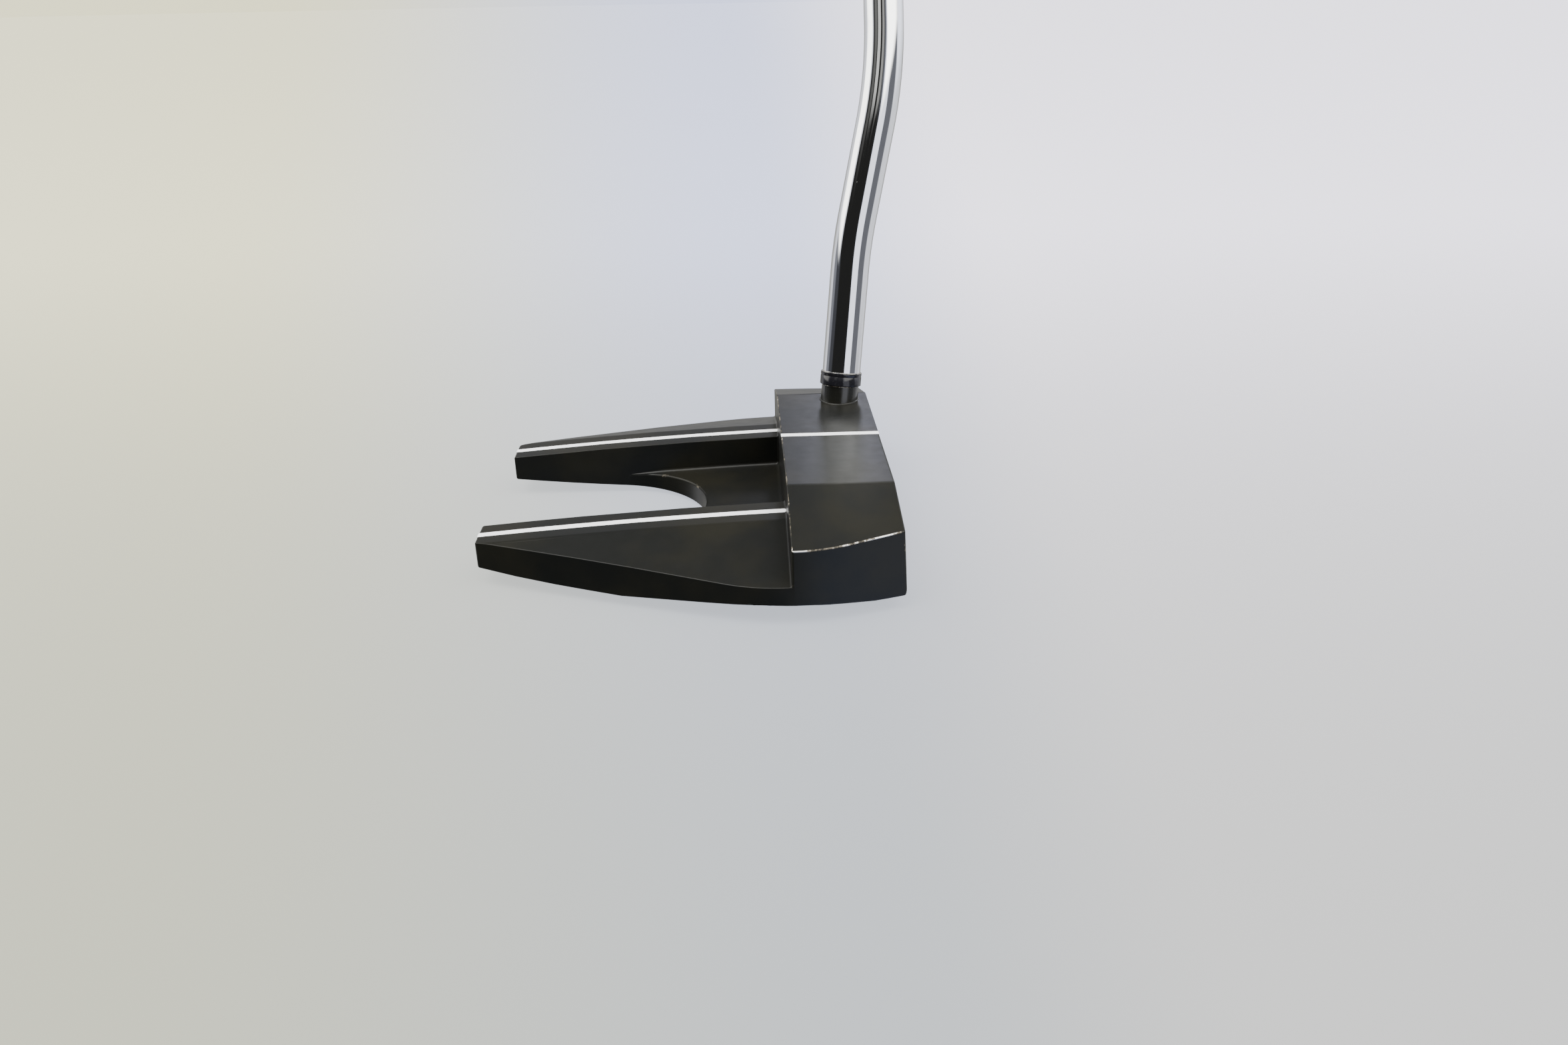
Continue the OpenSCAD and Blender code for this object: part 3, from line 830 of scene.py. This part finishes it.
def world():
    """A studio in soft bands of light, laid over each other, each hiding what is under it.

    Azimuths are in degrees, from 0 behind the putter through 90 on the right to 180 behind the camera,
    and heights are in degrees above the horizon.
    """
    made = bpy.data.worlds.new("studio")
    bpy.context.scene.world = made
    made.use_nodes = True
    tree = made.node_tree
    add, wire = tree.nodes.new, tree.links.new
    split = add("ShaderNodeSeparateXYZ")
    wire(add("ShaderNodeTexCoord").outputs["Generated"], split.inputs[0])
    x, y, z = split.outputs

    def calc(operation, a, b=None):
        node = add("ShaderNodeMath")
        node.operation = operation
        for value, socket in zip((a, b), node.inputs):
            if isinstance(value, bpy.types.NodeSocket):
                wire(value, socket)
            elif value is not None:
                socket.default_value = value
        return node.outputs[0]

    azimuth = calc("MULTIPLY", calc("ARCTAN2", x, y), 180 / math.pi)
    height = calc("MULTIPLY", calc("ARCSINE", z), 180 / math.pi)

    def step(value, at, soft):
        node = add("ShaderNodeMapRange")
        node.interpolation_type = "SMOOTHSTEP"
        wire(value, node.inputs["Value"])
        node.inputs["From Min"].default_value = at - soft
        node.inputs["From Max"].default_value = at + soft
        return node.outputs[0]

    def band(value, low, high, soft):
        return calc("SUBTRACT", step(value, low, soft), step(value, high, soft))

    colour = None

    def lay(mask, tint, power):
        nonlocal colour
        shade = tuple(c * power for c in tint) + (1,)
        if colour is None:
            rgb = add("ShaderNodeRGB")
            rgb.outputs[0].default_value = shade
            colour = rgb.outputs[0]
            return
        node = add("ShaderNodeMix")
        node.data_type = "RGBA"
        wire(mask, node.inputs["Factor"])
        wire(colour, node.inputs["A"])
        node.inputs["B"].default_value = shade
        colour = node.outputs["Result"]

    def both(a, b):
        return calc("MULTIPLY", a, b)

    def under(at, soft):
        return calc("SUBTRACT", 1.0, step(height, at, soft))

    pale, violet, warm = (0.93, 0.94, 1.0), (0.88, 0.90, 1.0), (1.0, 0.99, 0.94)
    blue, green = (0.55, 0.66, 1.0), (0.95, 1.0, 0.90)
    # pale all round, dimmer straight behind the putter and overhead
    lay(None, pale, 1.25)
    lay(both(band(azimuth, -45, 45, 12), under(2, 4)), warm, 0.55)
    lay(both(band(azimuth, -38, 38, 12), step(height, 13, 5)), warm, 0.24)
    lay(step(height, 48, 14), warm, 0.40)
    # bright on the right, and behind the camera nearly dark on the left and dim on the right
    lay(both(band(azimuth, 45, 95, 12), step(height, 6, 8)), violet, 2.4)
    lay(calc("MAXIMUM", band(azimuth, -200, -104, 3), step(azimuth, 168, 2)), warm, 0.022)
    lay(band(azimuth, 97, 200, 4), violet, 0.20)
    # dim low strips on the left, and three narrow windows high up behind the camera on that side
    lay(both(band(azimuth, -108, -66, 4), under(9, 3)), violet, 0.30)
    lay(both(band(azimuth, -112, -88, 5), under(9, 3)), violet, 0.08)
    lay(both(band(azimuth, -128, -112, 3), step(height, 27, 4)), warm, 0.20)
    lay(both(band(azimuth, -152, -134, 2), step(height, 29, 2)), warm, 0.9)
    lay(both(band(azimuth, -177, -163, 2), step(height, 27, 2)), warm, 0.42)
    # the window on the left, then a broad one behind the camera on the right and a brighter one above
    lay(both(band(azimuth, -97, -56, 4), step(height, 10, 4)), warm, 5.0)
    lay(both(band(azimuth, 135, 169, 2), step(height, -14, 4)), violet, 2.1)
    lay(both(band(azimuth, 90, 162, 4), step(height, 23, 4)), warm, 6.0)
    # a dark strip beside them, and dark ground with a blue patch behind the camera on the right
    lay(both(band(azimuth, 171, 200, 2), under(26, 4)), warm, 0.022)
    lay(both(under(-13, 5), calc("SUBTRACT", 1.0, band(azimuth, -80, 80, 25))), green, 0.030)
    lay(both(under(-13, 5), band(azimuth, 105, 172, 10)), blue, 1.5)
    wire(colour, tree.nodes["Background"].inputs["Color"])


def lamp(name, place, aim, width, height, power, colour):
    data = bpy.data.lights.new(name, "AREA")
    data.shape = "RECTANGLE"
    data.size = width
    data.size_y = height
    data.energy = power
    data.color = colour
    obj = link(bpy.data.objects.new(name, data))
    obj.location = place
    obj.rotation_mode = "QUATERNION"
    obj.rotation_quaternion = (Vector(aim) - Vector(place)).to_track_quat("-Z", "Y")


FLOOR_SIZE = 14
DOME_RADIUS = 12
DOME_SIDES = 96
STAGE_GLOW = 2.35
STAGE_LEFT = (0.58, 0.56, 0.375)
STAGE_MIDDLE = (0.46, 0.50, 0.68)
STAGE_RIGHT = (0.78, 0.76, 0.86)
STAGE_NEAR = (0.22, 0.23, 0.20)


def stage_finish(name, soft_fade):
    """Glowing, warm on the left and cool on the right. With soft_fade it darkens towards the camera."""
    s = Shader(name)
    split = s.add("ShaderNodeSeparateXYZ")
    s.join(s.place, split.inputs[0])
    x, y, _ = split.outputs
    side = s.math("DIVIDE", x, s.math("MAXIMUM", s.math("ADD", y, 0.45), 0.1))
    cool = s.mix(s.ramp(side, -0.01, 0.15), STAGE_MIDDLE, STAGE_RIGHT)
    colour = s.mix(s.ramp(side, -0.36, -0.01), STAGE_LEFT, cool)
    if soft_fade:
        near = s.mix(0.8, colour, STAGE_NEAR)
        colour = s.mix(s.ramp(y, -0.2, 0.4), near, colour)
    matt = s.ramp(s.noise(6), 0.3, 0.7, 0.75, 0.85)
    return s.out(Base_Color=s.mix(0.25, (0, 0, 0), colour), Roughness=matt,
                 Emission_Color=colour, Emission_Strength=STAGE_GLOW)


def floor():
    """A plane just below the flat spot of the sole, left out of reflections."""
    bm = bmesh.new()
    bmesh.ops.create_grid(bm, x_segments=8, y_segments=8, size=FLOOR_SIZE)
    mesh = bpy.data.meshes.new("floor")
    bm.to_mesh(mesh)
    bm.free()
    mesh.materials.append(stage_finish("floor_pale", True))
    obj = link(bpy.data.objects.new("floor", mesh))
    obj.location.z = -0.05 * MM
    obj.visible_glossy = False


def dome():
    """Pale backdrop all round, seen directly only, so it hides the bands of the studio's light."""
    rings = []
    for degrees in range(-4, 87, 5):
        rise = math.radians(degrees)
        centre = Vector((0, 0, DOME_RADIUS * math.sin(rise)))
        radius = DOME_RADIUS * math.cos(rise)
        rings.append(circle(centre, Vector((1, 0, 0)), Vector((0, 1, 0)), radius, DOME_SIDES))
    mesh = rings_mesh("dome", rings)
    mesh.materials.append(stage_finish("dome_pale", False))
    obj = link(bpy.data.objects.new("dome", mesh))
    obj.visible_glossy = False
    obj.visible_diffuse = False
    obj.visible_shadow = False
    obj.visible_transmission = False


# ---------------------------------------------------------------- build

camera()
world()
floor()
dome()
lamp("key", place=(-0.6, -0.5, 1.5), aim=(0, 0, 0), width=1.0, height=0.8, power=38,
     colour=(1.0, 0.99, 0.96))
lamp("glow", place=(0.086, 0.823, 0.344), aim=(0.004, -0.013, 0.02), width=0.07, height=0.10, power=0.25,
     colour=(0.78, 0.80, 1.0))

head()
shaft()
collar()
grip_sleeve()
grip_end()
paint = line_paint()
for name in ("crown_sight_line", "toe_sight_line", "heel_sight_line"):
    finish_node(name, paint)
finish_node("face_insert", insert_polymer())
cured = adhesive()
finish_node("insert_adhesive", cured)
finish_node("shaft_epoxy", cured)
finish_node("grip_tape", creped_tape())

bpy.context.view_layer.update()
